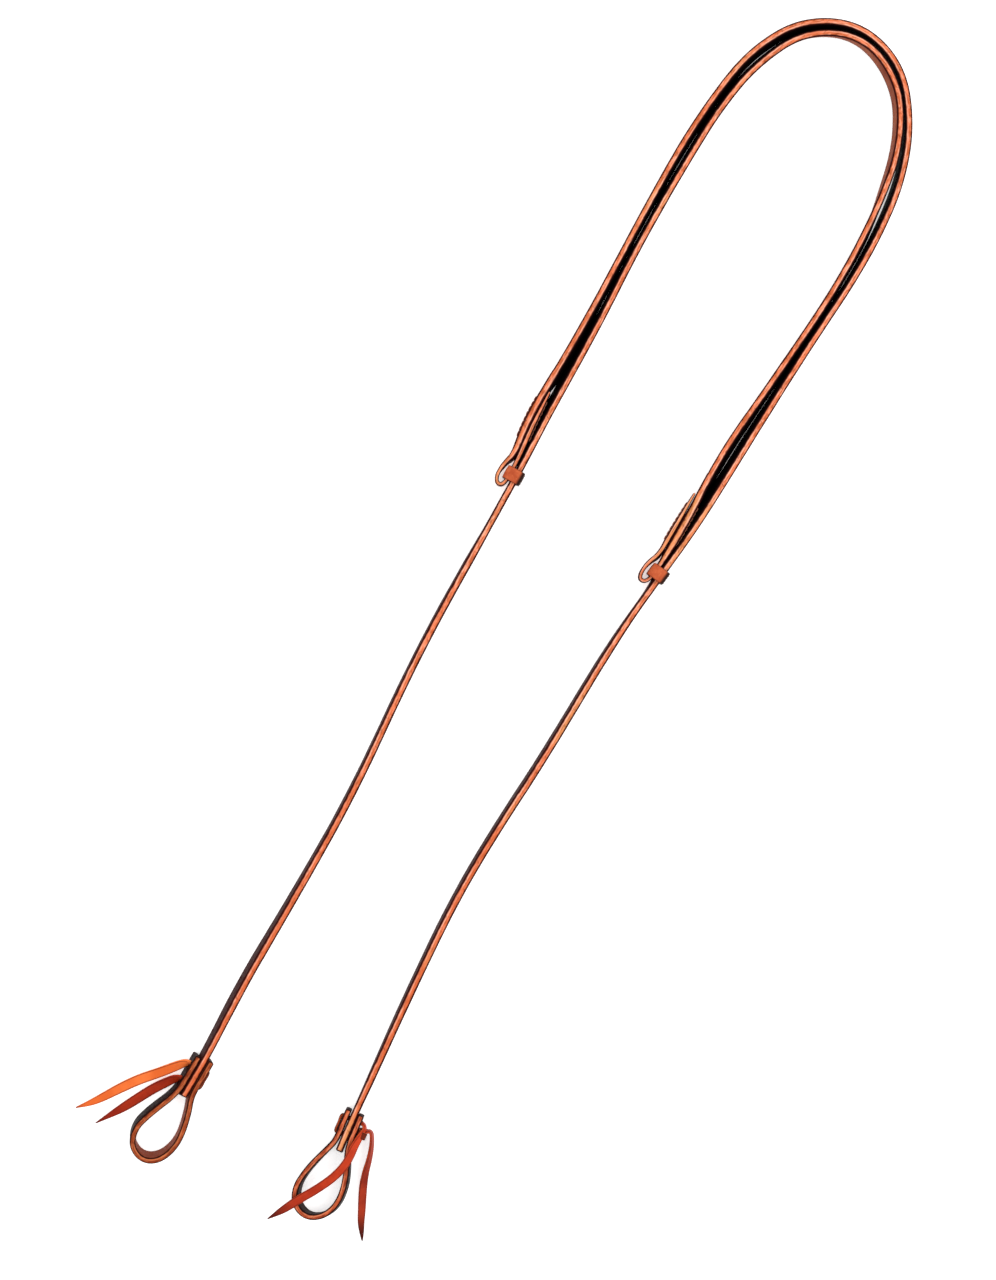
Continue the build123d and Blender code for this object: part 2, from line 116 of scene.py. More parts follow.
outer_pts = [
    (107.4, -474.7), (103.8, -447.0), (99.0, -397.7), (93.4, -343.6), (89.0, -291.9),
    (85.0, -239.5), (84.1, -187.1), (85.8, -134.7), (88.8, -82.3), (90.2, -29.9),
    (91.1, 22.5), (93.6, 75.0), (99.3, 127.0), (104.9, 179.2), (106.9, 231.6),
    (108.4, 284.0), (110.2, 336.4), (112.7, 388.8), (116.4, 441.1), (116.2, 493.7),
    (109.7, 545.6), (90.9, 594.9), (56.7, 637.1), (4.9, 650.9), (-43.7, 626.3),
    (-69.3, 578.7), (-77.4, 526.8), (-80.6, 474.4), (-79.9, 422.0), (-78.4, 369.5),
    (-76.6, 317.7), (-76.0, 268.0), (-76.8, 228.0), (-77.1, 196.0),
]
outer_h = [HS] * len(outer_pts)
outer_tail = [
    ((-74.6, 171.0), HS), ((-72.1, 154.5), 2.6), ((-75.2, 143.5), HF), ((-76.2, 134.0), HF),
    ((-75.6, 128.4), HF), ((-72.6, 123.7), HF), ((-68.4, 123.5), HF), ((-66.1, 128.6), HF),
    ((-66.15, 139.0), HF), ((-66.7, 154.0), HF), ((-68.6, 170.0), HF), ((-71.1, 194.6), 1.9),
    ((-72.0, 219.0), 0.7),
]
N_IN, N_OUT = len(inner_pts), len(outer_pts)
inner_pts += [p for p, _ in inner_tail]
inner_h += [h for _, h in inner_tail]
outer_pts += [p for p, _ in outer_tail]
outer_h += [h for _, h in outer_tail]

left_loop_pts = [
    (-42.0 - SIDE, -464.5), (-42.0 - SIDE, -482.0), (-42.05 - SIDE, -499.0), (-51.6, -510.5), (-56.3, -521.5), (-61.2, -534.0),
    (-65.0, -547.5), (-61.8, -561.0), (-53.4, -568.0), (-43.4, -569.6), (-34.0, -564.8),
    (-27.6, -554.5), (-25.0, -541.0), (-26.9, -526.5), (-30.6, -512.5), (-33.7, -504.5),
    (-41.95 + SIDE, -496.5), (-42.0 + SIDE, -480.0), (-42.0 + SIDE, -463.0),
]
right_loop_pts = [
    re(-SIDE, 38.0), re(-SIDE, 23.0), re(-SIDE - 0.15, 6.5), (97.3, -479.5), (93.8, -492.5), (90.8, -507.0), (90.2, -521.5),
    (95.3, -533.8), (104.8, -540.3), (115.8, -540.6), (126.2, -532.6), (131.0, -518.4),
    (128.8, -502.0), (123.2, -488.0), (117.0, -476.8), re(SIDE + 0.15, 6.5), re(SIDE, 22.0), re(SIDE, 37.0),
]
LK = (-68.55 + KEEP_IN / 2, 136.7)
LKA = math.radians(1.0)
RKM = rk(3.55 - (KEEP_IN + 0.2) / 2, 0.15)


def spline(points, res=40):
    """The points of a smooth NURBS line through the plan, given its control points."""
    cu = bpy.data.curves.new("route", "CURVE")
    cu.dimensions, cu.resolution_u = "3D", res
    sp = cu.splines.new("NURBS")
    sp.points.add(len(points) - 1)
    for p, c in zip(sp.points, points):
        p.co = (c[0] / 1000, c[1] / 1000, c[2] / 1000, 1)
    sp.order_u = 3
    sp.use_endpoint_u = True
    sp.resolution_u = res
    ob = bpy.data.objects.new("route", cu)
    bpy.context.scene.collection.objects.link(ob)
    deps = bpy.context.evaluated_depsgraph_get()
    me = bpy.data.meshes.new_from_object(ob.evaluated_get(deps))
    out = [v.co * 1000 for v in me.vertices]
    bpy.data.objects.remove(ob)
    bpy.data.curves.remove(cu)
    bpy.data.meshes.remove(me)
    return out


def smooth(a, b, x):
    if a == b:
        return float(x > a)
    t = min(1.0, max(0.0, (x - a) / (b - a)))
    return t * t * (3 - 2 * t)


def table(rows, x):
    """Straight interpolation in a short table of (x, value)."""
    if x <= rows[0][0]:
        return rows[0][1]
    for (x0, v0), (x1, v1) in zip(rows, rows[1:]):
        if x <= x1:
            f = smooth(x0, x1, x)
            return v0 + (v1 - v0) * f
    return rows[-1][1]


def lift(x, y):
    """How far a strap is raised by the keeper's lower band under it."""
    yc, up, dn = (LK[1], 2.5 + ADJUST, 2.5) if x < 20 else (RK[1], 2.5, 2.5 + ADJUST)
    ya, yb = yc - KEEP_BAND / 2 - dn, yc + KEEP_BAND / 2 + up
    if y < ya:
        return LIFT * (1 - smooth(0, 62, ya - y))
    if y > yb:
        return LIFT * (1 - smooth(0, 62, y - yb))
    return LIFT


LEFT_LX = [(-570, 1.7), (-505, 2.0), (-450, 2.4), (-415, 2.5), (-370, 2.3), (-319, 1.9), (-267, 1.5), (-214, 1.2),
           (-110, 1.0), (47, 0.85), (92, 0.35), (118, 0.0)]
LEFT_LY = [(-572, -1.5), (-540, -1.0), (-505, 0.0)]
RIGHT_LX = [(-545, -1.7), (-500, -1.1), (-475, -0.5), (-440, -0.2), (-397, 0.4), (-343, 0.9), (-240, 1.1), (-80, 1.1),
            (22, 0.8), (70, 0.3), (100, 0.0)]
RIGHT_LY = [(-545, -0.6), (-500, 0.0)]


def lean_at(x, y):
    """How far the top edge of the leather leans over, in mm each side of its middle."""
    if x < 20:
        return Vector((table(LEFT_LX, y), table(LEFT_LY, y)))
    return Vector((table(RIGHT_LX, y), table(RIGHT_LY, y)))


def along(line, chans, step, cap=1.0, tight=0.16, ends=(True, True)):
    """Places along a line, closer together where it bends, with each channel's value there."""
    s = [0.0]
    for a, b in zip(line, line[1:]):
        s.append(s[-1] + (b - a).length)
    n, total = len(line), s[-1]
    bend = [0.0] * n
    for i in range(2, n - 2):
        a, b = line[i] - line[i - 2], line[i + 2] - line[i]
        if a.length > 1e-6 and b.length > 1e-6:
            bend[i] = a.angle(b) / (0.5 * (a.length + b.length))
    where, at, k = [], 0.0, 0
    e = [0.0, 0.12 * cap, 0.35 * cap, 0.65 * cap, cap]
    if ends[0]:
        where += e
        at = cap
    else:
        where.append(0.0)
    limit = total - (cap if ends[1] else 0.0)
    while True:
        while k < n - 1 and s[k] < at:
            k += 1
        near = max(bend[max(0, k - 6):min(n, k + 7)] or [0.0])
        at += min(step, tight / near if near > 1e-6 else step)
        if at > limit - 0.4:
            break
        where.append(at)
    where += [total - x for x in reversed(e)] if ends[1] else [total]
    out, k = [], 0
    for w in where:
        while k < n - 2 and s[k + 1] < w:
            k += 1
        f = min(1.0, max(0.0, (w - s[k]) / max(1e-9, s[k + 1] - s[k])))
        p = line[k].lerp(line[k + 1], f)
        a, b = line[max(0, k - 1)], line[min(n - 1, k + 2)]
        d = (b - a).normalized()
        inset = 0.0
        for on, dist in ((ends[0], w), (ends[1], total - w)):
            if on and dist < cap:
                inset = max(inset, cap - math.sqrt(max(0.0, cap * cap - (cap - dist) ** 2)))
        out.append({"p": p, "d": d, "s": w, "inset": inset, **{k2: c[k] + (c[k + 1] - c[k]) * f for k2, c in chans.items()}})
    return out, total


def section(b, a, rc, nface, nedge, crown, crease, dish):
    """Outline of a leather strap's section, b half thick and a half wide, as (x across, y up)."""
    rc = min(rc, b * 0.92, a * 0.6)
    pts = []

    def face(sign, y0, y1):
        for i in range(nface):
            f = (i + 0.5) / nface
            y = y0 + (y1 - y0) * f
            x = b
            if crease:
                for yc in (a - 2.7, -(a - 2.7)):
                    x -= crease * math.exp(-((y - yc) / 0.42) ** 2)
            x += dish * (1 - (y / a) ** 2)
            pts.append((sign * x, y))

    def edge(sign, x0, x1):
        for i in range(nedge):
            f = (i + 0.5) / nedge
            x = x0 + (x1 - x0) * f
            pts.append((x, sign * (a + crown * (1 - (x / max(b, 1e-6)) ** 2) - crown * (1 - ((b - rc) / max(b, 1e-6)) ** 2))))

    def corner(cx, cy, a0):
        for i in range(5):
            t = math.radians(a0 - 90 * i / 4)
            pts.append((cx + rc * math.cos(t), cy + rc * math.sin(t)))

    edge(1, -(b - rc), b - rc)
    corner(b - rc, a - rc, 90)
    face(1, a - rc, -(a - rc))
    corner(b - rc, -(a - rc), 0)
    edge(-1, b - rc, -(b - rc))
    corner(-(b - rc), -(a - rc), -90)
    face(-1, -(a - rc), a - rc)
    corner(-(b - rc), a - rc, 180)
    return pts


def build(name, verts, faces, sec=None, extra=None, smooth_it=True):
    me = bpy.data.meshes.new(name)
    me.from_pydata([tuple(v) for v in verts], [], faces)
    if sec:
        at = me.attributes.new("sec", "FLOAT_VECTOR", "POINT")
        at.data.foreach_set("vector", [c for v in sec for c in v])
    for key, vals in (extra or {}).items():
        at = me.attributes.new(key, "FLOAT", "POINT")
        at.data.foreach_set("value", vals)
    me.update()
    if smooth_it:
        me.shade_smooth()
    ob = bpy.data.objects.new(name, me)
    bpy.context.scene.collection.objects.link(ob)
    return ob


def skin(name, rings, place, outline, seed=0.0, rough=0.10, close=False):
    """A mesh swept through the rings. place(ring, x, y) gives a point; outline(ring) gives the section."""
    verts, sec, dark, tip, faces = [], [], [], [], []
    count = None
    for r in rings:
        pts = outline(r)
        count = len(pts)
        for x, y in pts:
            k = r["s"]
            w = noise.noise(Vector((k * 0.05 + seed, x * 0.12, y * 0.10))) * rough
            w += noise.noise(Vector((k * 0.22 + seed * 3, x * 0.5, y * 0.35))) * rough * 0.45
            gx, gy = x / max(r["b"], 0.2), y / max(r["a"], 0.2)
            g = math.hypot(gx, gy) or 1
            verts.append(M(place(r, x + w * gx / g, y + w * gy / g)))
            sec.append((max(-1.2, min(1.2, gx)), max(-1.2, min(1.2, gy)), r["s"] / 1000))
            # painted shade amount for each ring, read by the material
            dark.append(r.get("dark", 0.0))
            tip.append(1.0 if r["inset"] > 0 and r["s"] < 30 or r["inset"] > 0.25 else 0.0)
    n = len(rings)
    for i in range(n - 1 + (1 if close else 0)):
        j = (i + 1) % n
        for q in range(count):
            q2 = (q + 1) % count
            faces.append((i * count + q, i * count + q2, j * count + q2, j * count + q))
    if not close:
        for base, flip in ((0, False), ((n - 1) * count, True)):
            c = sum((verts[base + q] for q in range(count)), Vector()) / count
            verts.append(c)
            k = len(verts) - 1
            sec.append((0.0, 0.0, rings[0 if not flip else -1]["s"] / 1000))
            dark.append(0.0)
            tip.append(1.0)
            for q in range(count):
                q2 = (q + 1) % count
                faces.append((base + q2, base + q, k) if not flip else (base + q, base + q2, k))
    return build(name, verts, faces, sec, {"dark": dark, "tip": tip})


# ---------------------------------------------------------------- the two rein straps
def strap_line(pts, hs):
    flat = spline([(x, y, 0) for x, y in pts])
    h = [v.z * 1 for v in spline([(x, y, h * 10) for (x, y), h in zip(pts, hs)])]
    idx = [v.z for v in spline([(x, y, i * 10.0) for i, (x, y) in enumerate(pts)])]
    line = [Vector((v.x, v.y, H + lift(v.x, v.y))) for v in flat]
    return line, [q / 10 for q in h], [q / 10 for q in idx]


lines = {"inner": strap_line(inner_pts, inner_h), "outer": strap_line(outer_pts, outer_h)}
trees = {}
for key, (line, h, idx) in lines.items():
    cut = N_IN if key == "inner" else N_OUT
    for part, use in (("main", [(p, HS) for p, i in zip(line, idx) if i < cut - 0.5]),
                      ("flap", [(p, q) for p, q, i in zip(line, h, idx) if i > cut + 6.5])):
        t = kdtree.KDTree(len(use))
        for i, (p, q) in enumerate(use):
            t.insert(p, i)
        t.balance()
        trees[key, part] = t, use


def room(key, p):
    """The clear width between a strand and the other strap's nearer layer beside it."""
    other = "outer" if key == "inner" else "inner"
    best = 99.0
    for part in ("main", "flap"):
        t, use = trees[other, part]
        _, i, dist = t.find(p)
        best = min(best, dist - HS - use[i][1])
    return best


# on each leg, the strap with no flap measures the room beside it
leg_room = {}
for leg, key in (("left", "inner"), ("right", "outer")):
    line, h, idx = lines[key]
    rows = [(p.y, room(key, p)) for p in line if (p.x < 20) == (leg == "left") and 100 < p.y < 330]
    leg_room[leg] = sorted(rows)


def strap_rings(key):
    line, h, idx = lines[key]
    lean, off, dark = [], [], []
    main = N_IN if key == "inner" else N_OUT
    for i, p in enumerate(line):
        a, b = line[max(0, i - 2)], line[min(len(line) - 1, i + 2)]
        d = (b - a).normalized()
        right = Vector((d.y, -d.x))
        w = lean_at(p.x, p.y)
        single = w.x * right.x + w.y * right.y
        left = p.x < 20
        free = (key == "inner") == left
        flap = idx[i] > main + 3.2 and p.y < 300
        if 100 < p.y < 320:
            gap = min(leg_room["left" if left else "right"], key=lambda r: abs(r[0] - p.y))[1]
        else:
            gap = room(key, p)
        margin = 0.05
        close = max(0.0, gap - margin)
        if left:   # past the flap's tip both strands lean a little further
            close += 0.9 * smooth(210, 224, p.y) * (1 - smooth(255, 285, p.y))
        low = 143.2 if left else 131.4
        two = smooth(low + 55, low + 100, p.y)
        start = smooth(low - 10, low + 3, p.y)
        v = min(3.2, close / 3.66 * (2 - two)) * start if free else min(3.2, close / 3.66 * two) * start
        both = smooth(95, 125, p.y) if left else smooth(80, 112, p.y)
        if not free and p.y < 222:
            single = 0.0
        side = -1 if flap else 1
        if key == "inner":   # round the right of the bend this strap leans the other way
            tilt = smooth(-10, 45, p.x) * smooth(485, 545, p.y)
            v *= 1 - tilt
        else:
            tilt = 0.0
        up = p.y - low
        if (idx[i] < main + 4.2 if left else idx[i] > main + 5.5) and not free and up < 18:   # the eye's far wall sags inwards
            v = max(v, (0.35 + 0.95 * smooth(2.2, 5.5, up)) * smooth(-9, -3, up) * (1 - smooth(9, 16, up)))
        lean.append(single * (1 - both) + side * v * both - 1.25 * tilt)
        off.append(-side * v * both)
        # painted shade: on each strand, which face looks into the gap beside it and how much, for near-black painting
        # in the material
        shade = smooth(low + 0.3, low + 3.5, p.y) if free or flap else smooth(low + 70, low + 78, p.y)
        dark.append(side * shade)

    def soften(a, n=14):
        for _ in range(2):
            acc, out = [0.0], []
            for q in a:
                acc.append(acc[-1] + q)
            for i in range(len(a)):
                lo, hi = max(0, i - n), min(len(a), i + n + 1)
                out.append((acc[hi] - acc[lo]) / (hi - lo))
            a = out
        return a

    rings, total = along(line, {"b": h, "lean": soften(lean), "off": soften(off), "dark": dark, "idx": idx}, 2.4)
    for r in rings:
        r["a"] = H
        low = 143.2 if r["p"].x < 20 else 131.4
        if r["idx"] > main - 3 and r["p"].y < low + 95:   # the stitched layers lie together
            r["b"] += 0.30 * smooth(low + 3, low + 16, r["p"].y)
        up = r["p"].y - low
        if r["idx"] > main + 2.5:   # room for the keeper at the foot of the eye
            r["b"] -= 0.32 * smooth(-23, -19, up) * (1 - smooth(-9, -5, up))
        if r["idx"] < main - 6:
            r["b"] += 0.24 * smooth(-440, -400, r["p"].y) * (1 - smooth(45, 90, r["p"].y))
        r["end"] = max(0.0, 1 - r["s"] / 7.0)
    return rings, total


def strap_place(r, x, y):
    d = r["d"]
    n = math.hypot(d.x, d.y)
    rx, ry = d.y / n, -d.x / n
    q = x + r["off"] + r["lean"] * y / H
    back = 3.4 * r.get("end", 0.0) * (0.5 - y / (2 * H))   # the skived end
    return (r["p"].x + rx * q - d.x * back, r["p"].y + ry * q - d.y * back, r["p"].z + y)


def strap_outline(r):
    i = r["inset"]
    b = r["b"] + 0.05 * noise.noise(Vector((r["s"] * 0.03, 5.0, 0)))
    if i > 0:
        return section(max(0.15, b - min(i, b - 0.2)), H - i, 1.15, 18, 5, 0.22, 0.0, 0.0)
    return section(b, H - 0.12, 1.25, 18, 5, 0.28, 0.30 if b > 2.9 else 0.16, 0.06)


rings_in, len_in = strap_rings("inner")
rings_out, len_out = strap_rings("outer")
inner_strap = skin("inner_strap_leather", rings_in, strap_place, strap_outline, 1.3)
outer_strap = skin("outer_strap_leather", rings_out, strap_place, strap_outline, 7.9)
for ob, body, node, rings, total in ((inner_strap, "inner_rein", "inner_rein_strap", rings_in, len_in),
                                     (outer_strap, "outer_rein", "outer_rein_strap", rings_out, len_out)):
    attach(ob, body)
    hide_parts(node)
    centre = [M(strap_place(r, 0, 0)) for r in rings]


# ---------------------------------------------------------------- laces
def shear(p):
    w = lean_at(p[0], p[1])
    k = (p[2] - H) / H
    return Vector((p[0] + w.x * k, p[1] + w.y * k, p[2]))


def lace(name, pts, seed, rc=0.85, ends=(False, True), step=1.5, tip=0.5, rough=0.06):
    """A flat lace through points (x, y, z, half width, half thickness, roll in degrees)."""
    base = spline([p[:3] for p in pts], 24)
    wid = [v.z / 10 for v in spline([(p[0], p[1], p[3] * 10) for p in pts], 24)]
    thk = [v.z / 10 for v in spline([(p[0], p[1], p[4] * 10) for p in pts], 24)]
    rol = [v.z for v in spline([(p[0], p[1], p[5]) for p in pts], 24)]
    line = [shear(p) for p in base]
    rings, total = along(line, {"a": wid, "b": thk, "roll": rol}, step, cap=tip, tight=0.22, ends=ends)
    for r in rings:
        d = r["d"]
        side = d.cross(Vector((0, 0, 1)))
        side = side.normalized() if side.length > 1e-3 else Vector((1, 0, 0))
        up = side.cross(d).normalized()
        t = math.radians(r["roll"])
        r["w"] = side * math.cos(t) + up * math.sin(t)
        r["t"] = side * -math.sin(t) + up * math.cos(t)

    def place(r, x, y):
        return r["p"] + r["t"] * x + r["w"] * y

    def outline(r):
        i = r["inset"]
        return section(max(0.12, r["b"] - i), max(0.15, r["a"] - i), rc, 8, 4, 0.06, 0.0, 0.10 if i == 0 else 0.0)

    ob = skin(name, rings, place, outline, seed, rough)
    return ob, [M(r["p"]) for r in rings], total, rings


XO, XI = -42.0 - LOOP_OUT, -42.0 + LOOP_OUT
# each tail: out of its hole on edge, then it turns over and lies flat to its point
tail_specs = {
    "left_upper": ([(XO + 2.5, -474.0, 8.0, 2.6, 2.0, 80), (XO - 0.2, -474.1, 8.0, 3.6, 1.5, 62), (XO - 3.6, -476.6, 7.9, 4.4, 1.25, 36),
                    (-61.0, -484.8, 7.4, 4.6, 1.2, 16), (-69.5, -496.0, 6.2, 4.7, 1.2, 6), (-82.6, -511.6, 4.2, 4.8, 1.2, 2),
                    (-92.5, -527.0, 2.5, 4.6, 1.2, 0), (-103.5, -545.0, 1.9, 3.9, 1.15, 0), (-112.0, -556.5, 1.7, 2.4, 1.0, 0), (-119.3, -564.4, 1.4, 0.45, 0.7, 0)],
                   "inner_rein", "left_upper_tail", "left_lace_tail_upper", (-42 - LOOP_OUT, -474.0, 8), (-63.0, -489.0, 8), 11.0),
    "left_lower": ([(XO + 2.5, -490.0, 8.0, 2.6, 2.0, 80), (XO - 0.2, -490.2, 7.8, 3.6, 1.5, 60), (-54.8, -493.2, 7.2, 4.3, 1.25, 34),
                    (-60.2, -501.4, 6.0, 4.5, 1.2, 14), (-66.6, -511.5, 4.4, 4.6, 1.2, 5), (-73.9, -526.8, 2.6, 4.6, 1.2, 0),
                    (-80.5, -540.0, 1.9, 4.3, 1.15, 0), (-88.5, -554.0, 1.7, 2.7, 1.0, 0), (-96.5, -567.8, 1.4, 0.45, 0.7, 0)],
                   "inner_rein", "left_lower_tail", "left_lace_tail_lower", (-42 - LOOP_OUT, -490.0, 8), (-62.5, -505.0, 8), 23.0),
    "right_crossing": ([re(LOOP_OUT - 2.5, 30, 8.0, 2.4, 2.0, 90), re(LOOP_OUT + 2.4, 30.2, 8.6, 3.0, 1.6, 86), re(LOOP_OUT + 5.2, 26.0, 11.0, 3.4, 1.25, 74),
                        re(LOOP_OUT + 4.0, 20.0, 14.6, 3.6, 1.2, 48), (117.6, -463.5, 17.4, 3.7, 1.2, 26), (118.9, -473.5, 18.3, 3.8, 1.2, 10),
                        (118.8, -485.0, 18.3, 3.9, 1.2, 4), (116.4, -497.2, 18.1, 3.95, 1.2, 0), (108.4, -514.6, 17.9, 3.95, 1.2, 0),
                        (99.0, -530.8, 18.0, 3.95, 1.2, 0), (93.0, -543.0, 17.4, 3.8, 1.15, 0), (87.3, -553.2, 15.8, 2.2, 1.0, 0), (83.0, -560.7, 14.2, 0.45, 0.7, 0)],
                       "outer_rein", "right_crossing_tail", "right_lace_tail_crossing", re(LOOP_OUT, 30, 8), (119.0, -472.0, 8), 37.0),
    "right_outer": ([re(LOOP_OUT - 2.5, 15, 8.0, 2.4, 2.0, 90), re(LOOP_OUT + 2.2, 15.2, 7.6, 3.0, 1.6, 90), re(LOOP_OUT + 4.6, 19.5, 7.6, 3.8, 1.3, 88),
                     re(LOOP_OUT + 6.6, 24.5, 8.4, 3.6, 1.2, 84), re(LOOP_OUT + 11.5, 26.6, 8.0, 3.7, 1.2, 78), (129.8, -454.6, 7.2, 3.7, 1.2, 70),
                     (134.6, -467.0, 6.4, 3.75, 1.2, 60), (137.8, -480.5, 5.6, 3.75, 1.2, 44), (141.6, -492.0, 4.6, 3.75, 1.2, 22),
                     (146.6, -503.0, 3.2, 3.75, 1.2, 6), (151.4, -512.6, 2.2, 3.6, 1.2, 0), (156.4, -523.6, 1.8, 3.2, 1.15, 0),
                     (161.8, -532.0, 1.6, 2.2, 1.0, 0), (165.9, -538.5, 1.4, 0.45, 0.7, 0)],
                    "outer_rein", "right_outer_tail", "right_lace_tail_outer", re(LOOP_OUT, 15, 8), re(LOOP_OUT + 13.5, 26.0, 8), 53.0),
}
laces, lace_m = {}, {}
for key, (pts, body, tail_body, node, start, end, seed) in tail_specs.items():
    ob, centre, total, rings = lace("lace_" + key, pts, seed)
    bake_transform(ob)
    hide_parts(node)
    laces[key], lace_m[key] = ob, total / 1000

# the ties: through both holes, with a bight on the far side
left_tie, _, _, _ = lace("left_tie_bight", [
    (XO - 1.0, -474.0, 8, 2.4, 2.0, 90), (XI - 3.0, -474.0, 8, 2.4, 2.0, 90), (XI + 0.9, -473.6, 8, 3.0, 1.7, 90),
    (XI + 2.2, -476.2, 8, 4.3, 1.2, 90), (XI + 1.9, -479.5, 8, 4.5, 1.15, 90), (XI + 1.9, -484.5, 8, 4.5, 1.15, 90), (XI + 2.2, -487.8, 8, 4.3, 1.2, 90),
    (XI + 0.9, -490.4, 8, 3.0, 1.7, 90), (XI - 3.0, -490.0, 8, 2.4, 2.0, 90), (XO - 1.0, -490.0, 8, 2.4, 2.0, 90)], 61.0, ends=(False, False))
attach(left_tie, "inner_rein")
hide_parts("left_tie_lace")
B = -LOOP_OUT
right_tie, _, _, _ = lace("right_tie_bight", [
    re(-B + 1.0, 30, 8, 2.4, 2.0, 90), re(B + 3.0, 30, 8, 2.4, 2.0, 90), re(B - 0.9, 30.4, 8, 3.0, 1.7, 90),
    re(B - 1.7, 27.8, 8, 4.3, 1.25, 90), re(B - 1.45, 24.5, 8, 4.5, 1.2, 90), re(B - 1.45, 20.5, 8, 4.5, 1.2, 90), re(B - 1.7, 17.2, 8, 4.3, 1.25, 90),
    re(B - 0.9, 14.6, 8, 3.0, 1.7, 90), re(B + 3.0, 15, 8, 2.4, 2.0, 90), re(-B + 1.0, 15, 8, 2.4, 2.0, 90)], 67.0, ends=(False, False))
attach(right_tie, "outer_rein")
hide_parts("right_tie_lace")
# the half knot's wrap: the crossing end taken once round the other
u0 = LOOP_OUT + 4.3
knot_pts = []
for i in range(13):
    t = math.radians(-60 + i * 32)
    rr = 4.2 + 0.10 * i
    knot_pts.append(re(u0 + rr * 0.80 * math.cos(t), 21.2 + 0.36 * (i - 6), 9.2 + rr * 1.28 * math.sin(t), 3.0, 1.05, 0))


def wrap_mesh(name, pts, seed):
    line = [shear(p) for p in spline([p[:3] for p in pts], 20)]
    rings, _ = along(line, {"z": [0.0] * len(line)}, 1.0, cap=0.5, tight=0.2, ends=(True, True))
    axis = Vector((-math.sin(RE_A), math.cos(RE_A), 0))
    for r in rings:
        w = (axis - r["d"] * axis.dot(r["d"])).normalized()
        r["w"], r["t"], r["a"], r["b"] = w, r["d"].cross(w).normalized(), 3.3, 1.1

    def outline(r):
        i = r["inset"]
        return section(r["b"] - i, r["a"] - i, 0.8, 7, 4, 0.05, 0.0, 0.10 if i == 0 else 0.0)

    return skin(name, rings, lambda r, x, y: r["p"] + r["t"] * x + r["w"] * y, outline, seed, 0.05)


knot = wrap_mesh("right_tie_half_knot", knot_pts, 71.0)
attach(knot, "outer_rein")


# ---------------------------------------------------------------- bit loops
def loop_mesh(name, pts, seed):
    line = [Vector((v.x, v.y, H)) for v in spline([(x, y, 0) for x, y in pts])]
    rings, total = along(line, {"z": [0.0] * len(line)}, 1.6, cap=1.3, tight=0.10)
    for r in rings:
        r["a"], r["b"], r["off"] = H, HL, 0.0
        d = r["d"]
        n = math.hypot(d.x, d.y)
        w = lean_at(r["p"].x, r["p"].y)
        r["lean"] = (w.x * d.y - w.y * d.x) / n
        hole = min((abs(r["p"].y - yy) for yy in ((-474.0, -490.0) if r["p"].x < 20 else (re(0, 30)[1], re(0, 15)[1]))))
        r["dark"] = 0.0
        r["hole"] = math.exp(-(hole / 4.2) ** 2) if r["p"].y > (-500 if r["p"].x < 20 else -470) else 0.0

    def outline(r):
        i = r["inset"]
        b = HL + 0.06 * noise.noise(Vector((r["s"] * 0.05, seed, 0)))
        if i > 0:
            return section(b - i, H - i, 1.2, 18, 5, 0.2, 0.0, 0.0)
        out = section(b, H - 0.12, 1.3, 18, 5, 0.25, 0.26, 0.05)
        if r["hole"] > 0.02:   # the leather pulls in round a lace hole
            out = [(x * (1 - 0.20 * r["hole"] * math.exp(-(y / 3.6) ** 2)), y) for x, y in out]
        return out

    return skin(name, rings, strap_place, outline, seed, 0.12), rings


left_loop, left_loop_rings = loop_mesh("left_bit_loop_leather", left_loop_pts, 83.0)
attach(left_loop, "inner_rein")
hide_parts("left_bit_loop")
right_loop, right_loop_rings = loop_mesh("right_bit_loop_leather", right_loop_pts, 91.0)
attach(right_loop, "outer_rein")
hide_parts("right_bit_loop")


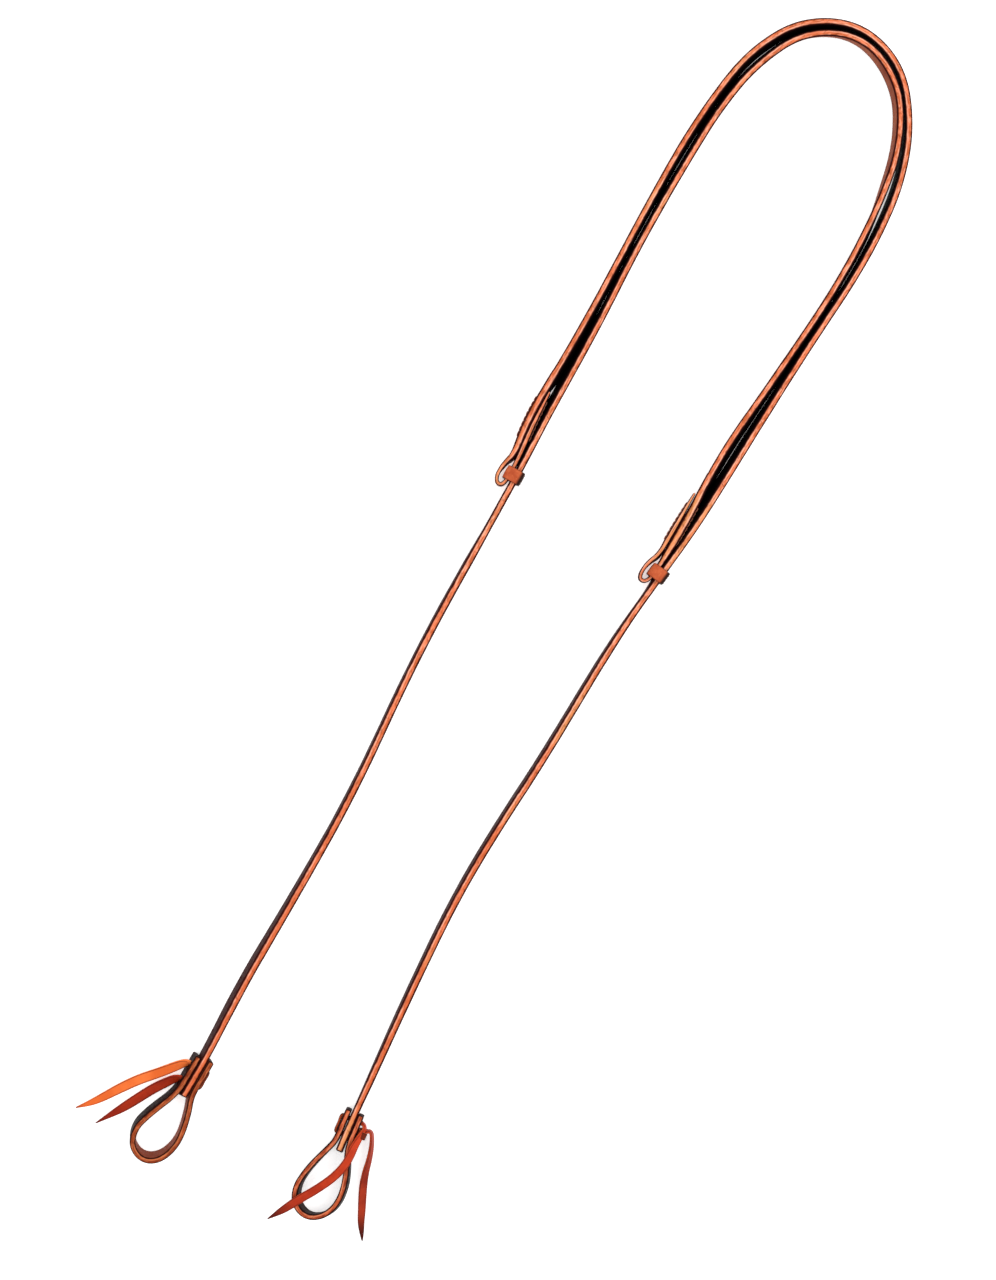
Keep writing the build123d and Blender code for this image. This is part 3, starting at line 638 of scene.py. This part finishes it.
# ---------------------------------------------------------------- keepers
def keeper_mesh(name, mid, ang, seed, wide=KEEP_IN):
    """A soft band round both straps, closed by a sewn butt seam on its outer wall."""
    x1 = wide / 2 + KEEP_T / 2
    z0, z1 = KEEP_T / 2 - 0.1, LIFT + STRAP_W + 0.3 + KEEP_T / 2
    rad = 3.1
    line = []
    marks = [(x1, 9.9), (x1, z1 - rad)]
    line += [Vector((x1, 0, 9.9 + (z1 - rad - 9.9) * i / 10)) for i in range(10)]
    for cx, cz, a0 in ((x1 - rad, z1 - rad, 0), (-x1 + rad, z1 - rad, 90), (-x1 + rad, z0 + rad, 180), (x1 - rad, z0 + rad, 270)):
        for i in range(9):
            t = math.radians(a0 + 90 * i / 8)
            line.append(Vector((cx + rad * math.cos(t), 0, cz + rad * math.sin(t))))
        nxt = {0: (-x1 + rad, z1), 90: (-x1, z0 + rad), 180: (x1 - rad, z0), 270: (x1, 9.9)}[a0]
        last = line[-1]
        m = 12
        for i in range(1, m):
            f = i / m
            line.append(last.lerp(Vector((nxt[0], 0, nxt[1])), f))
    n = len(line)
    verts, sec, dark, faces = [], [], [], []
    s = 0.0
    total = sum((line[(i + 1) % n] - line[i]).length for i in range(n))
    na, nb = 13, 4
    c, sn = math.cos(ang), math.sin(ang)
    for i in range(n):
        p, a, b = line[i], line[i - 1], line[(i + 1) % n]
        d = (b - a).normalized()
        out = Vector((d.z, 0, -d.x))
        if out.dot(p - Vector((0, 0, 10))) < 0:
            out = -out
        seam = math.exp(-(min(s, total - s) / 0.45) ** 2)
        hw, ht = KEEP_BAND / 2, KEEP_T / 2
        top = p.z > z1 - 1
        prof = []
        for j in range(na):                      # outer face, slightly crowned between creased borders
            y = -(hw - 0.9) + 2 * (hw - 0.9) * j / (na - 1)
            q = ht - 0.10 + 0.22 * (1 - (y / hw) ** 2) - 0.16 * math.exp(-((abs(y) - (hw - 2.0)) / 0.35) ** 2) - 0.55 * seam
            prof.append((q, y))
        for j in range(nb):
            t = math.radians(90 - 90 * (j + 1) / nb)
            prof.append((ht - 0.95 + 0.85 * math.sin(t), hw - 0.9 + 0.85 * math.cos(t)))
        prof.append((-ht + 0.5, hw - 0.1))
        for j in range(na):
            y = (hw - 0.5) - 2 * (hw - 0.5) * j / (na - 1)
            prof.append((-ht + 0.05, y))
        prof.append((-ht + 0.5, -hw + 0.1))
        for j in range(nb):
            t = math.radians(90 * j / nb)
            prof.append((ht - 0.95 + 0.85 * math.sin(t), -(hw - 0.9 + 0.85 * math.cos(t))))
        for q, y in prof:
            w = 0.10 * noise.noise(Vector((s * 0.16 + seed, y * 0.2, q * 0.3)))
            bow = (0.35 if p.z > z1 - 2 or p.x > 0 else 0.08) * (1 - (y / hw) ** 2) * noise.noise(Vector((s * 0.08, seed, 0)))
            v = p + out * (q + (w if q > 0 else 0.0) + (bow if q > 0 else 0.0))
            v.x -= 0.15 * smooth(x1 - 2.6, x1 - 0.2, -p.x) * (1 - smooth(8, 17.5, p.z)) * smooth(-1.2, 0.6, q)
            verts.append(M((mid[0] + v.x * c - y * sn, mid[1] + v.x * sn + y * c, max(0.02, v.z))))
            sec.append((q / ht, y / hw, s / 1000))
            # painted shade: the band's outer wall is marked for near black, and everything below the top for a slight
            # darkening
            wall = smooth(x1 - 3.4, x1 - 0.9, v.x)
            dark.append(max(wall, 0.25 * smooth(z1 - 1.5, z1 - 7, p.z)))
        s += (b - p).length
    k = len(verts) // n
    for i in range(n):
        j = (i + 1) % n
        for q in range(k):
            q2 = (q + 1) % k
            faces.append((i * k + q, j * k + q, j * k + q2, i * k + q2))
    return build(name, verts, faces, sec, {"dark": dark})


left_keeper = keeper_mesh("left_keeper_leather", LK, LKA, 3.0)
right_keeper = keeper_mesh("right_keeper_leather", RKM, RA, 17.0, KEEP_IN + 0.2)
for ob, body, node in ((left_keeper, "left_keeper_ring", "left_keeper"), (right_keeper, "right_keeper_ring", "right_keeper")):
    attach(ob, body)
    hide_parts(node)


# ---------------------------------------------------------------- stitching
def stitches(name, spans, r0=0.52):
    """Each span is (start, end, outward): a twisted two-ply stitch that dips into a hole at each end."""
    verts, faces, sec = [], [], []
    nr, ns = 11, 12
    for a, b, out in spans:
        ln = (b - a).length
        side = (b - a).normalized()
        third = side.cross(out).normalized()
        base = len(verts)
        for i in range(nr):
            f = i / (nr - 1)
            t = f * 1.04 - 0.02
            rise = 0.34 * (1 - (2 * t - 1) ** 6) - 0.75 * (max(0, abs(2 * t - 1) - 0.80) / 0.22) ** 2
            c = a + side * (ln * t) + out * rise
            rad = r0 * (0.78 if i in (0, nr - 1) else 1.0)
            for j in range(ns):
                th = 2 * math.pi * j / ns
                rr = rad * (1 + 0.16 * math.cos(2 * (th - 3.4 * f)))
                verts.append(M(c + out * (rr * math.sin(th)) + third * (rr * math.cos(th))))
                sec.append((math.cos(2 * (th - 3.4 * f)), f, th))
        for i in range(nr - 1):
            for j in range(ns):
                j2 = (j + 1) % ns
                faces.append((base + i * ns + j, base + (i + 1) * ns + j, base + (i + 1) * ns + j2, base + i * ns + j2))
        for row in (0, nr - 1):
            f = [base + row * ns + j for j in range(ns)]
            faces.append(f if row == 0 else f[::-1])
    return build(name, verts, faces, sec)


def ring_near(rings, lo, hi, y):
    best = None
    for r0, r1 in zip(rings, rings[1:]):
        if lo <= r0["idx"] <= hi and (r0["p"].y - y) * (r1["p"].y - y) <= 0 and r0["p"].y != r1["p"].y:
            f = (y - r0["p"].y) / (r1["p"].y - r0["p"].y)
            return {k: (r0[k] + (r1[k] - r0[k]) * f if not isinstance(r0[k], Vector) else r0[k].lerp(r1[k], f)) for k in r0}
    raise ValueError(y)


def fold_spans(rings, cut, side, ys):
    spans, n = [], len(rings)
    last = rings[-1]["idx"]
    for z in (3.6, 12.3):
        for lo, hi in ((cut - 3.5, cut + 1.5), (last - 4.6, last)):
            pts = []
            for y in ys:
                r = ring_near(rings, lo, hi, y)
                d = r["d"]
                m = math.hypot(d.x, d.y)
                out = Vector((d.y / m, -d.x / m, 0)) * side
                pts.append((Vector(strap_place(r, side * (r["b"] + 0.10), z - H)), out))
            for (a, oa), (b, ob_) in zip(pts, pts[1:]):
                spans.append((a, b, (oa + ob_).normalized()))
    return spans


in_spans = fold_spans(rings_in, N_IN, -1, [155.0 + 5.0 * i for i in range(9)])
out_spans = fold_spans(rings_out, N_OUT, 1, [170.0 + 5.0 * i for i in range(9)])


def keeper_spans(mid, ang, wide=KEEP_IN):
    c, s = math.cos(ang), math.sin(ang)
    xw = wide / 2 + KEEP_T
    out = []
    for i in range(4):
        y = -KEEP_BAND / 2 + 2.2 + i * 2.77
        a, b = [Vector((mid[0] + (xw - 0.15) * c - y * s, mid[1] + (xw - 0.15) * s + y * c, z)) for z in (7.6, 12.2)]
        out.append((a, b, Vector((c, s, 0))))
    return out


for name, spans, body, node, r0 in (
        ("inner_fold_thread", in_spans, "inner_rein", "inner_fold_stitching", 0.50),
        ("outer_fold_thread", out_spans, "outer_rein", "outer_fold_stitching", 0.50),
        ("left_keeper_thread", keeper_spans(LK, LKA), "left_keeper_ring", "left_keeper_stitching", 0.42),
        ("right_keeper_thread", keeper_spans(RKM, RA, KEEP_IN + 0.2), "right_keeper_ring", "right_keeper_stitching", 0.42)):
    ob = stitches(name, spans, r0)
    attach(ob, body)
    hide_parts(node)
    ob["kind"] = "thread"


# ---------------------------------------------------------------- materials
def lin(r, g, b):
    return tuple((c / 255 / 12.92 if c / 255 <= 0.04045 else ((c / 255 + 0.055) / 1.055) ** 2.4) for c in (r, g, b)) + (1.0,)


class Nodes:
    def __init__(self, mat):
        self.t = mat.node_tree
        self.t.nodes.clear()
        self.bsdf = self.t.nodes.new("ShaderNodeBsdfPrincipled")
        self.out = self.t.nodes.new("ShaderNodeOutputMaterial")
        self.t.links.new(self.bsdf.outputs[0], self.out.inputs[0])

    def new(self, kind, **kw):
        n = self.t.nodes.new(kind)
        for k, v in kw.items():
            setattr(n, k, v)
        return n

    def put(self, node, i, value):
        if isinstance(value, bpy.types.NodeSocket):
            self.t.links.new(value, node.inputs[i])
        else:
            node.inputs[i].default_value = value

    def attr(self, name):
        n = self.new("ShaderNodeAttribute", attribute_name=name)
        return n

    def math(self, op, a, b=0.0, c=0.0, clamp=False):
        n = self.new("ShaderNodeMath", operation=op, use_clamp=clamp)
        for i, v in enumerate((a, b, c)):
            self.put(n, i, v)
        return n.outputs[0]

    def ramp(self, value, lo, hi, a=0.0, b=1.0):
        n = self.new("ShaderNodeMapRange", interpolation_type="SMOOTHSTEP")
        for i, v in enumerate((value, lo, hi, a, b)):
            self.put(n, i, v)
        return n.outputs[0]

    def mix(self, f, a, b, mode="MIX"):
        n = self.new("ShaderNodeMix", data_type="RGBA", blend_type=mode)
        self.put(n, 0, f)
        self.put(n, 6, a)
        self.put(n, 7, b)
        return n.outputs[2]

    def noise(self, vec, scale, detail=3.0, rough=0.55, distort=0.0):
        n = self.new("ShaderNodeTexNoise")
        self.put(n, "Vector", vec)
        n.inputs["Scale"].default_value = scale
        n.inputs["Detail"].default_value = detail
        n.inputs["Roughness"].default_value = rough
        n.inputs["Distortion"].default_value = distort
        return n.outputs["Fac"]

    def voronoi(self, vec, scale, feature="F1"):
        n = self.new("ShaderNodeTexVoronoi", feature=feature)
        self.put(n, "Vector", vec)
        n.inputs["Scale"].default_value = scale
        return n.outputs["Distance"]

    def combine(self, x, y, z):
        n = self.new("ShaderNodeCombineXYZ")
        for i, v in enumerate((x, y, z)):
            self.put(n, i, v)
        return n.outputs[0]


def leather(name, edge, edge2, pale, face, face2, border, border_at=(0.36, 0.68), edge_from=(0.84, 0.94), one_side=0.75,
            along_grain=60.0, rough=0.55, coat=0.0, spec=0.03, tips=None, grain=0.00018, end_dark=0.96, ochre=None, left_face=None, right_dark=0.0, bit_end=None):
    """Vegetable-tanned leather: a pale cut edge with painted highlights between dark rounded borders that are partly
    edge dye and partly painted shade, and oiled faces with grain and painted shade.
    The section coordinate runs across the thickness (x), across the width (y) and along the length (z, metres)."""
    mat = bpy.data.materials.new(name)
    mat.use_nodes = True
    g = Nodes(mat)
    sec = g.attr("sec")
    xyz = g.new("ShaderNodeSeparateXYZ")
    g.put(xyz, 0, sec.outputs["Vector"])
    x, y, s = xyz.outputs
    pos = g.new("ShaderNodeTexCoord").outputs["Object"]
    ax, ay = g.math("ABSOLUTE", x), g.math("ABSOLUTE", y)
    on_edge = g.ramp(ay, *edge_from)
    # cut edge: long fibres, blotches, pale fibre streaks that are partly grain and partly painted highlight, and a
    # painted highlight along one side
    fib = g.noise(g.combine(g.math("MULTIPLY", x, 1.6), g.math("MULTIPLY", y, 0.6), g.math("MULTIPLY", s, along_grain)), 2.2, 4.0, 0.62, 0.3)
    blot = g.noise(pos, 62.0, 3.0, 0.6, 0.4)
    wide = g.noise(pos, 11.0, 2.0, 0.5)
    fine = g.noise(pos, 900.0, 3.0, 0.7)
    col = g.mix(g.ramp(blot, 0.40, 0.62), edge, edge2)
    col = g.mix(g.ramp(wide, 0.42, 0.66, 0.0, 0.55), col, edge2)
    col = g.mix(g.ramp(fib, 0.50, 0.68, 0.0, 0.85), col, pale)
    if bit_end:
        col = g.mix(g.ramp(s, 0.66, 0.08, 0.0, 0.8), col, bit_end)
    if ochre:
        col = g.mix(g.ramp(g.noise(pos, 7.5, 2.0, 0.5), 0.52, 0.66, 0.0, 0.6), col, ochre)
    # painted highlight: pale patches on the negative-x half of the cut edge
    painted_highlight = g.math("MULTIPLY", g.ramp(g.math("MULTIPLY", x, -1.0), 0.0, 0.34), g.ramp(g.noise(pos, 34.0, 3.0), 0.40, 0.60, 0.15, 0.8))
    col = g.mix(painted_highlight, col, pale)
    col = g.mix(g.ramp(fib, 0.50, 0.32, 0.0, 0.55), col, face)
    tick = g.noise(g.combine(g.math("MULTIPLY", x, 0.9), g.math("MULTIPLY", y, 0.3), g.math("ADD", g.math("MULTIPLY", s, 420.0), g.math("MULTIPLY", x, 1.1))), 1.0, 2.0, 0.5)
    col = g.mix(g.ramp(tick, 0.60, 0.72, 0.0, 0.42), col, border)
    # darker rounded borders: partly edge dye, partly painted shade on the corners as they turn from the light
    shaky = g.math("ADD", ax, g.math("MULTIPLY", g.math("SUBTRACT", g.noise(pos, 160.0, 2.0), 0.5), 0.34))
    border_dye_and_shade = g.ramp(shaky, *border_at)
    col = g.mix(border_dye_and_shade, col, border)
    # faces: oiled grain, darker towards the rounded corners (partly edge dye, partly painted shade); one face is
    # recoloured as painted light and shade, and the faces looking into the strand gap are painted near black
    fcol = g.mix(g.ramp(g.noise(pos, 28.0, 4.0, 0.6), 0.36, 0.66), face, face2)
    fcol = g.mix(g.ramp(g.noise(g.combine(x, g.math("MULTIPLY", y, 3.0), g.math("MULTIPLY", s, 30.0)), 2.0, 3.0), 0.55, 0.8, 0.0, 0.35), fcol, edge2)
    fcol = g.mix(g.ramp(ay, 0.62, 0.92, 0.0, 0.8), fcol, border)
    # painted shade on the negative-x face: recoloured towards left_face (near black on the straps, a lighter painted
    # lit brown on the left loop)
    side_shade = g.ramp(g.math("MULTIPLY", x, -1.0), 0.5, 0.95, 0.0, one_side)
    fcol = g.mix(side_shade, fcol, left_face or border)
    # painted shade: near black on the positive-x face
    if right_dark:
        fcol = g.mix(g.ramp(x, 0.5, 0.95, 0.0, right_dark), fcol, lin(12, 4, 4))
    # painted shade: the shade attribute (its sign picks the face) paints the faces looking into the gap between strands
    # near black, spilling onto the cut edge's corner
    shade = g.attr("dark").outputs["Fac"]
    gap_shade = g.math("MULTIPLY", g.ramp(g.math("MULTIPLY", x, -1.0), 0.5, 0.95), shade, clamp=True)
    gap_shade_plus_x = g.math("MULTIPLY", g.ramp(x, 0.5, 0.95), g.math("MULTIPLY", shade, -1.0), clamp=True)
    gap_shade = g.math("MAXIMUM", gap_shade, gap_shade_plus_x)
    fcol = g.mix(gap_shade, fcol, lin(9, 3, 3))
    base = g.mix(on_edge, fcol, col)
    base = g.mix(g.math("MULTIPLY", gap_shade, 0.75), base, lin(9, 3, 3))
    base = g.mix(g.math("MULTIPLY", g.attr("tip").outputs["Fac"], end_dark), base, border)
    if tips:
        base = g.mix(g.ramp(s, tips[0], tips[1], 0.0, tips[2]), base, border)
    pores = g.voronoi(pos, 1500.0)
    base = g.mix(g.ramp(pores, 0.06, 0.24, 0.16, 0.0), base, border)
    g.put(g.bsdf, "Base Color", base)
    g.put(g.bsdf, "Roughness", g.math("ADD", g.ramp(g.noise(pos, 240.0, 3.0), 0.3, 0.7, rough - 0.07, rough + 0.12), g.math("MULTIPLY", border_dye_and_shade, -0.05)))
    g.bsdf.inputs["Specular IOR Level"].default_value = spec
    g.bsdf.inputs["Coat Weight"].default_value = coat
    g.bsdf.inputs["Coat Roughness"].default_value = 0.35
    height = g.math("ADD", g.math("MULTIPLY", pores, 0.6), g.math("MULTIPLY", fine, 0.5))
    height = g.math("ADD", height, g.math("MULTIPLY", fib, 0.5))
    bump = g.new("ShaderNodeBump")
    bump.inputs["Strength"].default_value = 0.45
    bump.inputs["Distance"].default_value = grain
    g.put(bump, "Height", height)
    g.put(g.bsdf, "Normal", bump.outputs[0])
    return mat


# strap_mat: left_face is near black, painted shade on the strap's negative-x face
strap_mat = leather("strap_leather", lin(238, 126, 84), lin(196, 94, 50), lin(255, 180, 150), lin(136, 72, 46), lin(112, 48, 30), lin(50, 6, 4), one_side=0.97, ochre=lin(224, 160, 100), left_face=lin(44, 7, 7), bit_end=lin(208, 94, 50))
# loop_mat: left_face is a lighter brown, a painted lit face; the positive-x face gets near-black painted shade
loop_mat = leather("loop_leather", lin(166, 76, 38), lin(134, 54, 26), lin(206, 116, 72), lin(92, 34, 18), lin(62, 20, 11), lin(34, 7, 5),
                   border_at=(0.40, 0.76), one_side=0.85, rough=0.5, left_face=lin(134, 62, 38), right_dark=0.92)
# loop_mat_r: the positive-x face gets near-black painted shade
loop_mat_r = leather("loop_leather_red", lin(186, 82, 46), lin(146, 56, 30), lin(232, 138, 98), lin(88, 26, 16), lin(54, 15, 10), lin(30, 6, 5),
                     border_at=(0.36, 0.72), one_side=0.92, rough=0.5, right_dark=0.92)


def lace_leather(name, a, b, pale, border, tips):
    # one_side gives the lace a light painted shade on its negative-x face
    return leather(name, a, b, pale, a, b, border, border_at=(0.72, 1.02), edge_from=(0.80, 0.94), one_side=0.15,
                   along_grain=40.0, rough=0.46, spec=0.08, tips=tips, grain=0.00012, end_dark=0.6)


# each lace's two tails are one leather: the left lower tail's darker colours and the right outer tail's darker brown
# colours are painted shade
laces["left_upper"].data.materials.append(lace_leather("lace_lit_copy", lin(238, 118, 56), lin(218, 98, 40), lin(255, 152, 86), lin(104, 34, 15), (lace_m["left_upper"] - 0.012, lace_m["left_upper"] + 0.002, 0.7)))
laces["left_lower"].data.materials.append(lace_leather("lace_dark", lin(166, 45, 15), lin(134, 30, 10), lin(196, 66, 28), lin(60, 10, 6), (lace_m["left_lower"] - 0.018, lace_m["left_lower"] + 0.002, 0.8)))
laces["right_crossing"].data.materials.append(lace_leather("lace_red", lin(190, 60, 28), lin(158, 42, 18), lin(222, 92, 48), lin(58, 10, 7), (lace_m["right_crossing"] - 0.036, lace_m["right_crossing"] - 0.004, 0.88)))
laces["right_outer"].data.materials.append(lace_leather("lace_brown_shaded_copy", lin(168, 54, 28), lin(124, 32, 16), lin(206, 92, 54), lin(48, 9, 6), (lace_m["right_outer"] - 0.034, lace_m["right_outer"] - 0.004, 0.88)))
# tie_mat: one_side gives a light painted shade on the negative-x face
tie_mat = leather("tie_leather", lin(158, 62, 32), lin(116, 40, 20), lin(196, 98, 58), lin(112, 40, 21), lin(78, 25, 13), lin(30, 7, 5),
                  border_at=(0.66, 0.98), edge_from=(0.88, 1.0), one_side=0.2, rough=0.5)
keep_mat = bpy.data.materials.new("keeper_leather_band")
keep_mat.use_nodes = True
g = Nodes(keep_mat)
xyz = g.new("ShaderNodeSeparateXYZ")
g.put(xyz, 0, g.attr("sec").outputs["Vector"])
kx, ky, ks = xyz.outputs
pos = g.new("ShaderNodeTexCoord").outputs["Object"]
kcol = g.mix(g.ramp(g.noise(pos, 120.0, 4.0, 0.6, 0.3), 0.35, 0.66), lin(194, 94, 56), lin(170, 72, 40))
# lighter salmon mottles: partly mottled tone, partly painted highlight
kcol = g.mix(g.ramp(g.noise(pos, 420.0, 3.0, 0.6), 0.55, 0.75, 0.0, 0.4), kcol, lin(226, 122, 72))
kcol = g.mix(g.ramp(g.math("ABSOLUTE", ky), 0.86, 0.99, 0.0, 0.85), kcol, lin(84, 24, 13))
kcol = g.mix(g.ramp(kx, 0.2, -0.8, 0.0, 0.75), kcol, lin(96, 34, 18))
# painted shade: near black on the band's outer wall and slightly darker below the top, from the shade attribute
kcol = g.mix(g.math("MULTIPLY", g.attr("dark").outputs["Fac"], 0.97), kcol, lin(16, 5, 4))
g.put(g.bsdf, "Base Color", kcol)
g.put(g.bsdf, "Roughness", g.ramp(g.noise(pos, 300.0, 3.0), 0.3, 0.7, 0.36, 0.52))
g.bsdf.inputs["Coat Weight"].default_value = 0.0
g.bsdf.inputs["Specular IOR Level"].default_value = 0.06
g.bsdf.inputs["Coat Roughness"].default_value = 0.35
bump = g.new("ShaderNodeBump")
bump.inputs["Strength"].default_value = 0.4
bump.inputs["Distance"].default_value = 0.00015
g.put(bump, "Height", g.math("ADD", g.voronoi(pos, 1600.0), g.noise(pos, 700.0, 3.0)))
g.put(g.bsdf, "Normal", bump.outputs[0])

thread_mat = bpy.data.materials.new("waxed_thread")
thread_mat.use_nodes = True
g = Nodes(thread_mat)
xyz = g.new("ShaderNodeSeparateXYZ")
g.put(xyz, 0, g.attr("sec").outputs["Vector"])
pos = g.new("ShaderNodeTexCoord").outputs["Object"]
tcol = g.mix(g.ramp(xyz.outputs[0], -0.9, 0.6), lin(70, 22, 14), lin(156, 84, 56))
tcol = g.mix(g.ramp(g.noise(pos, 1200.0, 3.0), 0.45, 0.7, 0.0, 0.5), tcol, lin(190, 124, 92))
g.put(g.bsdf, "Base Color", tcol)
g.put(g.bsdf, "Roughness", g.ramp(g.noise(pos, 900.0, 2.0), 0.3, 0.7, 0.45, 0.65))
bump = g.new("ShaderNodeBump")
bump.inputs["Strength"].default_value = 0.5
bump.inputs["Distance"].default_value = 0.0001
g.put(bump, "Height", g.noise(g.combine(xyz.outputs[0], g.math("MULTIPLY", xyz.outputs[1], 30.0), xyz.outputs[2]), 3.0, 3.0))
g.put(g.bsdf, "Normal", bump.outputs[0])

for ob in (inner_strap, outer_strap):
    ob.data.materials.append(strap_mat)
left_loop.data.materials.append(loop_mat)
right_loop.data.materials.append(loop_mat_r)
for ob in (left_tie, right_tie, knot):
    ob.data.materials.append(tie_mat)
for ob in (left_keeper, right_keeper):
    ob.data.materials.append(keep_mat)
for ob in bpy.context.scene.objects:
    if ob.get("kind") == "thread":
        ob.data.materials.append(thread_mat)

# ---------------------------------------------------------------- floor, light
fm = bpy.data.meshes.new("floor")
fm.from_pydata([(-9, -9, -0.0004), (9, -9, -0.0004), (9, 9, -0.0004), (-9, 9, -0.0004)], [], [(0, 1, 2, 3)])
floor = bpy.data.objects.new("floor", fm)
bpy.context.scene.collection.objects.link(floor)
fmat = bpy.data.materials.new("pale_floor")
fmat.use_nodes = True
fb = fmat.node_tree.nodes["Principled BSDF"]
fb.inputs["Base Color"].default_value = (0.93, 0.93, 0.925, 1)
fb.inputs["Roughness"].default_value = 0.9
fb.inputs["Specular IOR Level"].default_value = 0.1
fb.inputs["Emission Color"].default_value = (1, 1, 1, 1)
fb.inputs["Emission Strength"].default_value = 0.5
fm.materials.append(fmat)

world = bpy.data.worlds.new("studio")
bpy.context.scene.world = world
world.use_nodes = True
world.node_tree.nodes["Background"].inputs[0].default_value = (1.0, 1.0, 1.0, 1)
world.node_tree.nodes["Background"].inputs[1].default_value = 0.95


def area(name, loc, size, power, aim=(0, 0, 0), tint=(1, 1, 1)):
    d = bpy.data.lights.new(name, "AREA")
    d.shape, d.size, d.energy, d.color = "DISK", size, power, tint
    o = bpy.data.objects.new(name, d)
    o.location = loc
    o.rotation_euler = (Vector(aim) - Vector(loc)).to_track_quat("-Z", "Y").to_euler()
    bpy.context.scene.collection.objects.link(o)


area("key", (2.2, 1.2, 3.4), 2.2, 60)
area("fill", (-2.0, -1.8, 3.6), 3.0, 26)

bpy.context.scene.view_settings.view_transform = "Standard"

bpy.context.view_layer.update()
